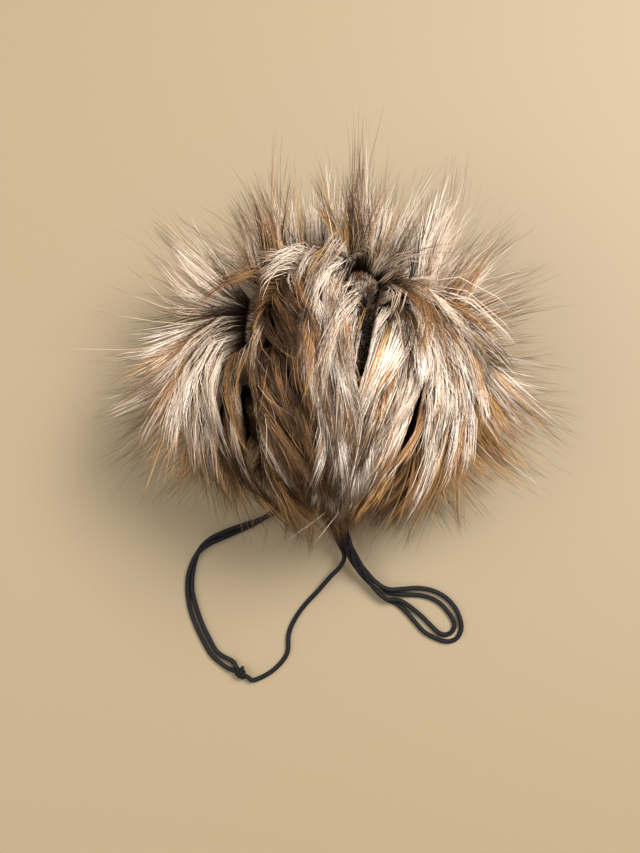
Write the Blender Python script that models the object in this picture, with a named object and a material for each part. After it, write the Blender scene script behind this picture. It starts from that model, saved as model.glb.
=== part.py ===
"""A faux-fur pom-pom with its knotted tie and its doubled cord loop, in metres with +Z up.

The ball stands on a small flat spot at z = 0. The origin is at the middle of the fur's box, on the surface.
The gathered neck of the ball looks towards -Y and a little down. The cords leave it there, run under the
fringe and lie on the surface in front of the ball.
"""

import math

import bmesh
import bpy
import numpy as np
from mathutils import Vector
from mathutils.bvhtree import BVHTree

MM = 0.001

# Reach of the fur from the origin, and its height.
FUR_HALF_WIDTH = 63 * MM
FUR_HALF_DEPTH = 53 * MM
FUR_HEIGHT = 69 * MM

# The stuffed ball that the pile grows from.
BALL_CENTRE = np.array((-1.0, -12.0, 30.0)) * MM
BALL_RADIUS = 25 * MM
BALL_UNEVEN = 0.05  # radians that a lock's root strays from its even place
DENSE_TOWARDS = np.array((0.0, 0.35, 0.937))  # where the hair spreads most, so more locks start there
DENSER = 0.25
FOOT_ANGLE = math.radians(38)  # half angle of the cap that is pressed flat on the surface
NECK_ANGLE = math.radians(22)  # half angle of the cap that the gather draws flat
NECK_REACH = 23.3 * MM
FLAT_ANGLE = math.radians(3)  # how far a face of the neck's flat may lean
NECK_AXIS = np.array((0.0, -0.883, -0.469))

# How the pile lies. The crown is a great circle, which parts the hair swept forward from the hair behind it.
CROWN_NORMAL = np.array((0.0, -0.6, 0.8))
CROWN_WIDTH = 0.10
CROWN_WANDER = 0.09  # how far the crown strays from its plane, and how often along it
CROWN_WAVES = 6.0
CROWN_SHIFT = 0.6
COMBED_BEHIND = (-0.45, 0.0)  # from this far behind the crown to it, the fringe turns into combed hair
COMBED_HEIGHT = (-0.05, 0.45)  # and between these heights, as shares of the ball's radius
COMBED_FRONT = 0.45  # how much lower the combed hair reaches at the front
NAP_WAVER = 0.13  # how far the combed hair turns aside, and how fast that changes over the ball
WAVER_RATES = np.array(((4.3, 1.7, -2.9), (-2.1, 5.2, 3.4)))
FRONT_NAP = np.array((0.0, -0.92, -0.45))
BACK_NAP = np.array((0.0, 0.85, -0.10))
GATHER = 0.95  # how strongly the combed hair draws in to the middle at the front, and how soon from there
GATHER_SPAN = 0.45
GATHER_ZONE = (0.0, 0.35)  # how far in front of the crown that begins and is whole
PARTING = 0.45  # how much less it draws in along the parting on the left, and where that is
PARTING_AT = -0.64
PARTING_WIDTH = 0.12
PILE_DEPTH = 12 * MM  # above the ball, where combed hair has turned to lie along it
ROOT_LIFT = 0.75
LEAST_LIFT = 0.22
ROOT_SWEEP = 0.30
TIP_SWEEP = 1.10
FRINGE_SWEEP = 0.22
FRINGE_DROOP = 0.30
FLOOR_FADE = 7 * MM  # height under which falling hair begins to level out

# Length of the pile by zone.
DOME_LENGTH = 44 * MM
FRINGE_LENGTH = 41 * MM
NECK_LENGTH = 15 * MM
NECK_TOWARDS = np.array((0.0, -1.0, -0.25))
NECK_ZONE = (0.05, 0.85)  # how far towards the neck the pile begins and ends to shorten
FOOT_LENGTH = 14 * MM
FOOT_ZONE = (-0.85, -0.25)  # heights between which the pile grows from the foot's length to the fringe's
LENGTH_UNEVEN = 0.13
CROWN_SHORTER = 0.30  # how much shorter the pile is on the crown itself
LEAST_LOCK = 5 * MM
GROWTH_STEP = 1 * MM

# Each lock is three-sided and narrows to a point: share of its length, share of its root's width.
LOCK_RINGS = ((0.15, 0.80), (0.33, 0.76), (0.53, 0.66), (0.75, 0.48))
SHORT_RINGS = ((0.50, 0.66),)
SHORT_LOCK = 24 * MM
ROOT_WIDTH = 0.86
LOCK_HALF_WIDTH = 3.6 * MM
ROUNDER = 0.5  # how far a lock's section is brought from its grown shape to an even triangle
STEADY = 0.10  # how far a lock's section is held from turning along it
SLIM_SHARE = 0.88  # how much a touching lock is narrowed at a time, and how often at most
SLIM_ROUNDS = 30

# Cords.
CORD_DIAMETER = 1.3 * MM
CORD_RADIUS = CORD_DIAMETER / 2
GAP = 0.3 * MM
CORD_PITCH = CORD_DIAMETER + GAP
POINT_SPACING = 3 * CORD_DIAMETER
ROUTE_STEPS = 16  # steps of the smooth curve between two points of a route
CORD_CLEARANCE = 1.0 * MM
HALF_PITCH = CORD_PITCH / MM / 2
PAIR_HALF_PITCH = 0.85  # millimetres from a pair's middle line to each of its strands
OUTER_EXIT = (-2.4, -0.8)  # millimetres across the neck and up it to where the tie's two strands leave
INNER_EXIT = (-2.4, 0.8)
LOOPS_ACROSS = 1.6  # millimetres from the neck's middle to the four loop strands
NECK_LEAD = (GAP / MM, 2.0, 4.0)  # millimetres out of the neck of a cord's first points
KNOT_LEAD = (1.6, 0.0)  # and out of the knot of its last points

# The knot that joins the tie's ends, in millimetres.
KNOT_CENTRE = np.array((-25.9, -90.9, 1.9))
KNOT_SIZE = np.array((2.3, 1.8, 1.85))
KNOT_SEGMENTS = 12
KNOT_ROWS = 8
KNOT_DIP = 0.2
KNOT_WRAPS = 3
KNOT_GROOVE = 0.12
KNOT_TAIL = 2.2
KNOT_TAIL_DIRECTION = np.array((0.25, 0.75, 0.6))


def smooth(value, low, high):
    """0 below low, 1 above high and an even curve between."""
    share = np.clip((value - low) / (high - low), 0.0, 1.0)
    return share * share * (3.0 - 2.0 * share)


def mix(first, second, share):
    return first + (second - first) * share


def unit(vectors):
    return vectors / np.linalg.norm(vectors, axis=-1, keepdims=True)


def along_surface(out, direction):
    """The part of one direction that lies along the ball, at each outward unit vector."""
    return direction - out * (out @ direction)[:, None]


def crown_side(out):
    """Above 0 in front of the crown and below 0 behind it."""
    return out @ CROWN_NORMAL + CROWN_WANDER * np.sin(CROWN_WAVES * out[:, 0] + CROWN_SHIFT)


def combed_share(out):
    """1 where the pile is swept over the ball, 0 where it stands out as a fringe."""
    height = out[:, 2] + COMBED_FRONT * np.clip(-out[:, 1], 0, 1) ** 2
    return smooth(crown_side(out), *COMBED_BEHIND) * smooth(height, *COMBED_HEIGHT)


def pile_direction(points):
    """Direction in which the pile grows at each point round the ball: one steady field, so no paths cross."""
    out = points - BALL_CENTRE
    distance = np.linalg.norm(out, axis=1)
    out = out / distance[:, None]
    side = np.tanh(crown_side(out) / CROWN_WIDTH)[:, None]
    forward = along_surface(out, FRONT_NAP) * np.clip(side, 0, 1)
    backward = along_surface(out, BACK_NAP) * np.clip(-side, 0, 1)
    nap = forward + backward
    drawn = GATHER * np.tanh(out[:, 0] / GATHER_SPAN)
    drawn = drawn + PARTING * np.exp(-(((out[:, 0] - PARTING_AT) / PARTING_WIDTH) ** 2))
    drawn = drawn * smooth(crown_side(out), *GATHER_ZONE)
    nap = nap - along_surface(out, np.array((1.0, 0.0, 0.0))) * drawn[:, None]
    waver = NAP_WAVER * np.sin(out @ WAVER_RATES.T).sum(axis=1)
    nap = nap + np.cross(out, nap) * waver[:, None]
    combed = combed_share(out)
    depth = np.clip((distance - BALL_RADIUS) / PILE_DEPTH, 0, 1)
    lift = mix(1.0, mix(ROOT_LIFT, LEAST_LIFT, depth), combed)
    sweep = mix(FRINGE_SWEEP, mix(ROOT_SWEEP, TIP_SWEEP, depth), combed)
    grown = out * lift[:, None] + nap * sweep[:, None]
    grown[:, 2] -= FRINGE_DROOP * (1 - combed) * depth
    falling = grown[:, 2] < 0
    grown[falling, 2] *= np.clip(points[falling, 2] / FLOOR_FADE, 0, 1)
    return unit(grown)


def pile_length(out):
    """Length of the pile that grows at each outward unit vector."""
    length = mix(FRINGE_LENGTH, DOME_LENGTH, combed_share(out))
    length = length * (1 - CROWN_SHORTER * np.exp(-((crown_side(out) / CROWN_WIDTH) ** 2)))
    length = mix(length, NECK_LENGTH, smooth(out @ NECK_TOWARDS, *NECK_ZONE))
    return mix(FOOT_LENGTH, length, smooth(out[:, 2], *FOOT_ZONE))


def grow(roots):
    """Each root's path through the field: an array of steps by roots by 3."""
    steps = int(math.ceil(DOME_LENGTH * (1 + LENGTH_UNEVEN) / GROWTH_STEP)) + 1
    path = [roots]
    for _ in range(steps):
        half_way = path[-1] + pile_direction(path[-1]) * GROWTH_STEP / 2
        path.append(path[-1] + pile_direction(half_way) * GROWTH_STEP)
    return np.array(path)


def at_length(path, length):
    """The point on one path, of steps by 3, at a length from its root."""
    place = min(length / GROWTH_STEP, len(path) - 1.001)
    step = int(place)
    return mix(path[step], path[step + 1], place - step)


def smooth_route(points, spacing=POINT_SPACING):
    """Evenly spaced points on the Catmull-Rom curve through a route's own points."""
    route = [Vector(p) * MM for p in points]
    ends = [route[0] * 2 - route[1], *route, route[-1] * 2 - route[-2]]
    fine = []
    for before, start, end, after in zip(ends, ends[1:], ends[2:], ends[3:]):
        for step in range(ROUTE_STEPS):
            t = step / ROUTE_STEPS
            fine.append(
                (
                    start * 2
                    + (end - before) * t
                    + (before * 2 - start * 5 + end * 4 - after) * t**2
                    + (start * 3 - before - end * 3 + after) * t**3
                )
                / 2
            )
    fine.append(route[-1])
    travelled = np.concatenate(([0], np.cumsum([(b - a).length for a, b in zip(fine, fine[1:])])))
    count = max(2, round(travelled[-1] / spacing))
    places = np.linspace(0, travelled[-1], count + 1)
    return np.stack([np.interp(places, travelled, [p[i] for p in fine]) for i in range(3)], axis=1)


def neck_point(across, up, out=0.0):
    """A point on the neck's flat, in millimetres: across it, up it and out from it."""
    rise = np.cross(NECK_AXIS, (1.0, 0.0, 0.0))
    point = BALL_CENTRE / MM + NECK_AXIS * (NECK_REACH / MM + out) + rise * up
    point[0] += across
    return tuple(point)


def from_neck(across, up):
    """A cord's first points, straight out of the neck."""
    return [neck_point(across, up, out) for out in NECK_LEAD]


def to_knot(bearing):
    """A cord's last points, in millimetres, straight at the knot from a bearing in degrees."""
    angle = math.radians(bearing)
    outward = unit(np.array((math.cos(angle), math.sin(angle), -KNOT_DIP)))
    surface = 1 / np.linalg.norm(outward / KNOT_SIZE) + GAP / MM
    return [tuple(KNOT_CENTRE + outward * (surface + out)) for out in KNOT_LEAD]


# Routes of the cords, in millimetres, all running away from the neck.
# The middle line of the tie's two strands that lie side by side.
PAIR = (
    (-8.3, -41.8, 9.5),
    (-14.7, -46.3, 5.2),
    (-19.9, -49.5, 2.4),
    (-24.8, -51.6, 0.9),
    (-31.0, -54.1, 0.7),
    (-34.9, -56.1, 0.7),
    (-37.7, -59.0, 0.7),
    (-39.4, -63.9, 0.7),
    (-39.7, -68.7, 0.7),
    (-38.8, -73.4, 0.7),
    (-37.2, -77.9, 0.7),
    (-35.2, -82.0, 0.7),
    (-32.8, -85.9, 0.7),
)
RETURN = from_neck(-0.8, -0.8) + [
    (-2.2, -44.6, 12.3),
    (-1.6, -50.6, 9.2),
    (-0.2, -55.6, 7.0),
    (1.5, -59.4, 5.2),
    (0.9, -62.2, 3.9),
    (-1.9, -65.2, 2.6),
    (-5.0, -68.8, 1.5),
    (-8.8, -72.9, 0.8),
    (-11.5, -76.8, 0.7),
    (-13.0, -80.6, 0.7),
    (-13.3, -85.2, 0.7),
    (-15.2, -88.3, 0.7),
    (-18.4, -91.0, 0.8),
    *to_knot(-28),
]
# The middle line of the four loop strands from the neck to where the loop opens.
BUNDLE = (
    (0.5, -43.5, 13.3),
    (1.2, -51.0, 9.4),
    (3.0, -57.2, 6.8),
    (6.0, -62.6, 4.7),
    (9.8, -66.9, 2.9),
)
LOOP_OUTER = (
    (13.6, -68.4, 2.9),
    (17.5, -68.4, 2.2),
    (21.5, -68.2, 1.4),
    (25.4, -68.8, 0.9),
    (28.9, -70.5, 0.7),
    (31.6, -73.2, 0.7),
    (33.1, -76.4, 0.7),
    (33.4, -79.4, 0.7),
    (32.0, -81.8, 0.7),
    (29.3, -82.5, 0.7),
    (26.2, -81.5, 0.7),
    (23.4, -79.9, 0.7),
    (21.0, -77.3, 0.7),
    (18.6, -74.6, 0.7),
    (16.0, -72.4, 0.7),
    (12.8, -70.9, 1.0),
)
LOOP_INNER = (
    (13.8, -69.2, 1.3),
    (17.5, -69.9, 0.9),
    (21.5, -70.1, 0.7),
    (24.7, -70.7, 0.7),
    (27.6, -72.2, 0.7),
    (29.8, -74.5, 0.7),
    (31.3, -76.8, 0.7),
    (31.6, -78.5, 0.7),
    (30.8, -80.0, 0.7),
    (29.2, -80.7, 0.7),
    (27.4, -80.2, 0.7),
    (25.0, -78.0, 0.7),
    (22.6, -75.6, 0.7),
    (19.6, -73.2, 1.1),
    (16.6, -71.4, 2.0),
    (12.9, -70.9, 2.6),
)


def beside(line, across, up):
    """A line's points moved sideways, to its left as it runs, and up."""
    moved = []
    for number, point in enumerate(line):
        ahead = np.subtract(line[min(number + 1, len(line) - 1)], line[max(number - 1, 0)])
        left = unit(np.array((-ahead[1], ahead[0], 0.0)))
        moved.append(tuple(np.array(point) + left * across + (0, 0, up)))
    return moved


def loop_strand(line, leaving, returning):
    """A whole loop strand: out of the neck beside the bundle's line, round the loop and back. leaving and
    returning are its places in the bundle, each across and up."""
    out = beside(BUNDLE, *leaving)
    back = beside(BUNDLE, *returning)
    start = from_neck(leaving[0] + LOOPS_ACROSS, leaving[1])
    end = from_neck(returning[0] + LOOPS_ACROSS, returning[1])
    return start + out + list(line) + back[::-1] + end[::-1]


CORD_ROUTES = {
    "tie_outer": from_neck(*OUTER_EXIT) + beside(PAIR, -PAIR_HALF_PITCH, 0) + to_knot(165),
    "tie_inner": from_neck(*INNER_EXIT) + beside(PAIR, PAIR_HALF_PITCH, 0) + to_knot(118),
    "tie_return": RETURN,
    "loop_outer": loop_strand(LOOP_OUTER, (HALF_PITCH, HALF_PITCH), (-HALF_PITCH, -HALF_PITCH)),
    "loop_inner": loop_strand(LOOP_INNER, (HALF_PITCH, -HALF_PITCH), (-HALF_PITCH, HALF_PITCH)),
}


def material(name, colour, roughness):
    made = bpy.data.materials.new(name)
    made.use_nodes = True
    shader = made.node_tree.nodes["Principled BSDF"]
    shader.inputs["Base Color"].default_value = (*colour, 1.0)
    shader.inputs["Roughness"].default_value = roughness
    shader.inputs["Metallic"].default_value = 0.0
    made.diffuse_color = (*colour, 1.0)
    return made


def add_object(name, data, collection, finish):
    data.materials.append(finish)
    made = bpy.data.objects.new(name, data)
    collection.objects.link(made)
    return made


def ball_point(out):
    """A point of the stuffed ball: round, but flat at its neck and at its foot."""
    point = BALL_CENTRE + BALL_RADIUS * out
    facing_neck = out @ NECK_AXIS
    if facing_neck > math.cos(NECK_ANGLE):
        point = point + NECK_AXIS * (NECK_REACH - BALL_RADIUS * facing_neck)
    if -out[2] > math.cos(FOOT_ANGLE):
        point[2] = 0.0
    return point


def ball_cage(uneven):
    """The ball as an icosphere with a vertex in the middle of its neck. A lock grows from each face of it."""
    cage = bmesh.new()
    bmesh.ops.create_icosphere(cage, subdivisions=3, radius=1.0)
    cage.verts.ensure_lookup_table()
    lean = DENSER * (NECK_AXIS @ DENSE_TOWARDS)
    before = NECK_AXIS * (lean + math.sqrt(1 - DENSER**2 + lean**2)) - DENSER * DENSE_TOWARDS
    turn = cage.verts[0].co.rotation_difference(Vector(before))
    for vertex in cage.verts:
        out = unit(np.array(turn @ vertex.co) + DENSER * DENSE_TOWARDS)
        stray = uneven.uniform(-BALL_UNEVEN, BALL_UNEVEN, 3)
        if out @ NECK_AXIS < math.cos(NECK_ANGLE):
            out = unit(out + stray)
        vertex.co = ball_point(out)
    return cage


def is_flat(face):
    """Whether a face of the cage belongs to the foot or to the neck, which carry no locks."""
    normal = np.array(face.normal)
    on_floor = max(abs(vertex.co.z) for vertex in face.verts) < GAP
    return on_floor or normal @ NECK_AXIS > math.cos(FLAT_ANGLE)


def clear_length(middle, corners, length, obstacles):
    """How long a lock can be before it comes too near a cord."""
    steps = int(length / GROWTH_STEP)
    widths = np.linalg.norm(corners[: steps + 1] - middle[: steps + 1, None], axis=2).max(axis=1)
    gaps = np.linalg.norm(middle[: steps + 1, None] - obstacles[None], axis=2).min(axis=1)
    blocked = np.flatnonzero(gaps < CORD_RADIUS + CORD_CLEARANCE + widths)
    return length if len(blocked) == 0 else max(0, blocked[0] - 1) * GROWTH_STEP


def rounder(spokes, along):
    """Three spokes from a lock's middle to its corners, brought nearer to even ones about its line."""
    even = np.cross(along, np.roll(spokes, -1, axis=0) - np.roll(spokes, 1, axis=0)) / math.sqrt(3)
    if (even * spokes).sum() < 0:
        even = -even
    return mix(spokes, (spokes + even) / 2, ROUNDER)


def steadier(spokes, before, along):
    """A ring's spokes, turned part of the way back to how the ring before it stands."""
    carried = before - (before @ along)[:, None] * along
    return mix(spokes, carried * np.linalg.norm(spokes) / np.linalg.norm(carried), STEADY)


def lock_shape(middle, corners, length):
    """A lock's points: its rings of three corners from the root outwards, and its tip."""
    points = [*corners[0]]
    before = corners[0] - middle[0]
    for share, width in SHORT_RINGS if length < SHORT_LOCK else LOCK_RINGS:
        ring = np.array([at_length(corners[:, corner], share * length) for corner in range(3)])
        centre = ring.mean(axis=0)
        along = unit(at_length(middle, share * length + GROWTH_STEP) - at_length(middle, share * length))
        spokes = steadier(rounder(ring - centre, along), before, along)
        before = spokes
        longest = np.linalg.norm(spokes, axis=1).max()
        points.extend(centre + spokes * min(width / ROOT_WIDTH, width * LOCK_HALF_WIDTH / longest))
    points.append(at_length(middle, length))
    return np.array(points)


def reach_out(locks):
    """Stretches the pile outside the ball, so that it ends at the named reach on each side."""
    tips = np.concatenate(locks)
    sides = (
        (0, 1, FUR_HALF_WIDTH),
        (0, -1, FUR_HALF_WIDTH),
        (1, 1, FUR_HALF_DEPTH),
        (1, -1, FUR_HALF_DEPTH),
        (2, 1, FUR_HEIGHT),
    )
    for axis, sign, end in sides:
        reach = end - BALL_CENTRE[axis] * sign
        longest = ((tips[:, axis] - BALL_CENTRE[axis]) * sign).max()
        stretch = (reach - BALL_RADIUS) / (longest - BALL_RADIUS)
        for lock in locks:
            beyond = (lock[:, axis] - BALL_CENTRE[axis]) * sign - BALL_RADIUS
            lock[:, axis] += sign * np.clip(beyond, 0, None) * (stretch - 1)


def lock_triangles(lock, first):
    """The triangles of a lock's sides and tip, as places in a list where the lock starts at first. A side is
    not flat, so it is covered across both of its diagonals."""
    tip = first + len(lock) - 1
    triangles = []
    for ring in range(first, tip, 3):
        for corner in range(3):
            here, turned = ring + corner, ring + (corner + 1) % 3
            if ring + 3 == tip:
                triangles.append((here, turned, tip))
            else:
                triangles += [(here, turned, turned + 3), (here, turned + 3, here + 3)]
                triangles += [(here, turned, here + 3), (turned, turned + 3, here + 3)]
    return triangles


def slim_until_apart(locks):
    """Narrows the locks that touch one another, until none does."""
    for _ in range(SLIM_ROUNDS):
        triangles, owners, first = [], [], 0
        for number, lock in enumerate(locks):
            own = lock_triangles(lock, first)
            triangles += own
            owners += [number] * len(own)
            first += len(lock)
        tree = BVHTree.FromPolygons(np.concatenate(locks).tolist(), triangles)
        meetings = [(owners[one], owners[other]) for one, other in tree.overlap(tree)]
        touching = {number for meeting in meetings for number in meeting if meeting[0] != meeting[1]}
        if not touching:
            return
        for number in touching:
            rings = locks[number][3:-1].reshape(-1, 3, 3)
            rings[:] = mix(rings.mean(axis=1, keepdims=True), rings, SLIM_SHARE)
    raise RuntimeError(f"{len(touching)} locks still touch")


def fur_ball(collection, finish, obstacles):
    """The ball with its locks, each drawn out of a face of the cage."""
    uneven = np.random.default_rng(11)
    cage = ball_cage(uneven)
    cage.normal_update()
    faces = [face for face in cage.faces if not is_flat(face)]
    corners = np.array([[vertex.co[:] for vertex in face.verts] for face in faces])
    middles = corners.mean(axis=1)
    roots = mix(middles[:, None], corners, ROOT_WIDTH)
    paths = grow(np.concatenate([roots.reshape(-1, 3), middles]))
    corner_paths = paths[:, : 3 * len(faces)].reshape(len(paths), len(faces), 3, 3)
    middle_paths = paths[:, 3 * len(faces) :]
    lengths = pile_length(unit(middles - BALL_CENTRE))
    lengths = lengths * uneven.uniform(1 - LENGTH_UNEVEN, 1 + LENGTH_UNEVEN, len(faces))
    stems, locks = [], []
    for number, face in enumerate(faces):
        middle = middle_paths[:, number]
        edges = corner_paths[:, number]
        length = clear_length(middle, edges, lengths[number], obstacles)
        if length >= LEAST_LOCK:
            stems.append(face)
            locks.append(lock_shape(middle, edges, length))
    reach_out(locks)
    slim_until_apart(locks)
    for face, lock in zip(stems, locks):
        for ring in lock[:-1].reshape(-1, 3, 3):
            face = bmesh.ops.extrude_discrete_faces(cage, faces=[face])["faces"][0]
            for vertex, place in zip(face.verts, ring):
                vertex.co = place
        end = bmesh.ops.extrude_discrete_faces(cage, faces=[face])["faces"][0]
        bmesh.ops.pointmerge(cage, verts=list(end.verts), merge_co=lock[-1])
    mesh = bpy.data.meshes.new("fur_ball")
    cage.to_mesh(mesh)
    cage.free()
    return add_object("fur_ball", mesh, collection, finish)


def cord(name, route, collection, finish):
    """A round cord along a route, with filled ends."""
    points = smooth_route(route)
    curve = bpy.data.curves.new(name, "CURVE")
    curve.dimensions = "3D"
    curve.bevel_depth = CORD_RADIUS
    curve.bevel_resolution = 2
    curve.use_fill_caps = True
    spline = curve.splines.new("POLY")
    spline.points.add(len(points) - 1)
    for point, place in zip(spline.points, points):
        point.co = (*place, 1.0)
    return add_object(name, curve, collection, finish)


def knot(collection, finish):
    """The knot: a small wrapped lump with a short blunt end standing up out of it."""
    lump = bmesh.new()
    bmesh.ops.create_uvsphere(lump, u_segments=KNOT_SEGMENTS, v_segments=KNOT_ROWS, radius=1.0)
    for vertex in lump.verts:
        out = np.array(vertex.co)
        turn = math.atan2(out[2], out[0])
        groove = KNOT_GROOVE * (1 - out[1] ** 2) * (0.5 - 0.5 * math.cos(KNOT_WRAPS * (turn + out[1])))
        vertex.co = (KNOT_CENTRE + out * KNOT_SIZE * (1 - groove)) * MM
    lump.normal_update()
    tail_way = Vector(KNOT_TAIL_DIRECTION).normalized()
    stem = max(lump.faces, key=lambda face: face.normal @ tail_way)
    end = bmesh.ops.extrude_discrete_faces(lump, faces=[stem])["faces"][0]
    bmesh.ops.translate(lump, verts=list(end.verts), vec=tail_way * KNOT_TAIL * MM)
    mesh = bpy.data.meshes.new("knot")
    lump.to_mesh(mesh)
    lump.free()
    mesh.shade_smooth()
    return add_object("knot", mesh, collection, finish)


def main():
    for leftover in list(bpy.data.objects):
        bpy.data.objects.remove(leftover)
    collection = bpy.data.collections.new("pom_pom")
    bpy.context.scene.collection.children.link(collection)
    fur_finish = material("faux_fur", (0.42, 0.32, 0.23), 0.75)
    cord_finish = material("black_cord", (0.012, 0.012, 0.014), 0.55)
    for name, route in CORD_ROUTES.items():
        cord(name, route, collection, cord_finish)
    obstacles = np.concatenate([smooth_route(route) for route in CORD_ROUTES.values()])
    fur_ball(collection, fur_finish, obstacles)
    knot(collection, cord_finish)


main()
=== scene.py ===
import math
from typing import NamedTuple

import bpy
import numpy as np
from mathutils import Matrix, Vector
from mathutils.kdtree import KDTree


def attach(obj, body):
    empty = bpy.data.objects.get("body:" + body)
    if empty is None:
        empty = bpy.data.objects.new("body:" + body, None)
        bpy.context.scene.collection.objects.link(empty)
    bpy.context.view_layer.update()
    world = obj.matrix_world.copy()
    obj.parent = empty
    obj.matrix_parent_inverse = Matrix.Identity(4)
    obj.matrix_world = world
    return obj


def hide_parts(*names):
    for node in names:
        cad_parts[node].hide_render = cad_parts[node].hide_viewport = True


bl_info = {
    "name": "Faux-fur pom-pom",
    "version": (1, 0, 0),
    "blender": (4, 5, 0),
    "location": "3D View > Sidebar > Pom-pom",
    "description": "Builds a long-haired faux-fur pom-pom with its knotted tie and its doubled cord loop",
    "category": "Object",
}

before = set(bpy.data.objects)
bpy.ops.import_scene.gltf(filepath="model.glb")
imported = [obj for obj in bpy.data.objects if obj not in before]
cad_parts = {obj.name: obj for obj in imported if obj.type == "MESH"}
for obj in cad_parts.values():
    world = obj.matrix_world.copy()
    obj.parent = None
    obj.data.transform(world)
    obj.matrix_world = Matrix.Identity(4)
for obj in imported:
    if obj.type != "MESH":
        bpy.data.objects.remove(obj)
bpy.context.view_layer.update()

MM = 0.001

# The stuffed ball that the pile grows from.
BALL_CENTRE = np.array((-1.0, -12.0, 30.0)) * MM
BALL_RADIUS = 25 * MM
DENSE_TOWARDS = np.array((0.0, 0.35, 0.937))
DENSER = 0.25
BALL_CLEAR = 0.3 * MM  # least height of the ball over the floor
FOOT_ANGLE = math.radians(38)
NECK_ANGLE = math.radians(22)
NECK_REACH = 23.3 * MM
NECK_AXIS = np.array((0.0, -0.883, -0.469))

# How the pile lies: the crown parts the hair swept forward from the hair behind it.
CROWN_NORMAL = np.array((0.0, -0.6, 0.8))
CROWN_WIDTH = 0.10
CROWN_WANDER = 0.09
CROWN_WAVES = 6.0
CROWN_SHIFT = 0.6
COMBED_BEHIND = (-0.45, 0.0)
COMBED_HEIGHT = (-0.05, 0.45)
COMBED_FRONT = 0.45
NAP_WAVER = 0.13
WAVER_RATES = np.array(((4.3, 1.7, -2.9), (-2.1, 5.2, 3.4)))
FRONT_NAP = np.array((0.0, -0.92, -0.45))
BACK_NAP = np.array((0.0, 0.85, -0.10))
GATHER = 0.95  # how strongly the combed hair draws in to the middle at the front, and how soon from there
GATHER_SPAN = 0.45
GATHER_ZONE = (0.12, 0.55)  # how far in front of the crown that begins and is whole
PARTING = 0.45  # how much less it draws in along the parting on the left, and where that is
PARTING_AT = -0.64
PARTING_WIDTH = 0.12
PILE_DEPTH = 12 * MM
ROOT_LIFT = 0.75
LEAST_LIFT = 0.22
ROOT_SWEEP = 0.30
TIP_SWEEP = 1.10
FRINGE_SWEEP = 0.22
FRINGE_DROOP = 0.30
FLOOR_FADE = 7 * MM
DOME_LENGTH = 44 * MM
FRINGE_LENGTH = 41 * MM
NECK_LENGTH = 23 * MM
NECK_TOWARDS = np.array((0.0, -1.0, -0.25))
NECK_ZONE = (0.25, 0.95)
FOOT_LENGTH = 14 * MM
FOOT_ZONE = (-0.85, -0.25)
CROWN_SHORTER = 0.30
GROWTH_STEP = 1 * MM
GROWTH_STEPS = 54
LAST_PLACE = GROWTH_STEPS - 0.001  # the furthest place on a path, in steps

# The long tufts that stand out behind the crown: bearing and height, in degrees about the ball's centre.
TUFTS = (
    (146, 10), (122, 14), (110, 4), (104, 18), (97, 8), (90, 22), (84, 6),
    (76, 17), (68, 6), (61, 20), (54, 8), (41, 12), (33, 4), (21, 8),
)
TUFT_ANGLES = np.radians((12, 4))  # how far from its direction a tuft ends and is whole
SHORT_BEHIND = 0.42  # length of the pile between the tufts, as a share
BEHIND = (-0.22, 0.12)  # how far behind the crown that begins and is whole
BEHIND_HEIGHT = (-0.45, -0.05)  # and between which heights, as shares of the ball's radius
WHOLE_LOCKS = 0.5  # share of the locks there that keep their length
WHOLE_LENGTH = (0.85, 1.05)
SHORT_LOCK = 0.80

# How far the pile is stretched beyond the ball on each side: axis, side and share.
SIDE_STRETCH = ((0, 1, 1.182), (0, -1, 1.105), (1, 1, 0.932), (1, -1, 0.931), (2, 1, 0.760))
FLOOR_SOFTNESS = 2.5 * MM

# Where the pile is open: a line from one place to another, how far to each side of it, and above what height,
# in millimetres.
OPENINGS = (
    ((5.2, 7.2), (6.6, 5.8), 3.0, 20),
    ((8.0, 2.5), (4.6, -14.5), 1.2, 20),
    ((-11.5, 15.8), (-3.5, 17.6), 2.0, 36),
    ((10.0, 17.0), (15.0, 15.2), 1.6, 36),
    ((14.5, 9.4), (16.2, 8.2), 1.2, 20),
    ((-20.5, 5.5), (-21.4, -6.4), 1.5, 20),
    ((-21.9, -19.0), (-20.2, -33.0), 1.3, 20),
    ((19.0, -20.0), (15.0, -32.0), 0.4, 20),
)
OPENING_STUBBLE = 1.2 * MM  # height of the stubble that stays on the ball there
SHORTEST = 2 * GROWTH_STEP  # what stays of a hair that is cut

# Where the dome's hair ends at the front: a bearing in degrees about the ball's centre, and how far out in
# millimetres. The golden hair below it shows past that.
HEM = (
    (-180, 36.0), (-157, 39.0), (-136, 39.5), (-127, 29.0), (-107, 30.5), (-92, 35.0),
    (-74, 30.5), (-58, 32.5), (-39, 30.5), (-13, 32.0), (0, 37.0),
)
HEM_SPREAD = 1.5 * MM
HEM_ROOTS = 0.47  # height above which roots belong to the dome, as a share of the ball's radius
HEM_ROOTS_SPREAD = 0.07

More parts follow.
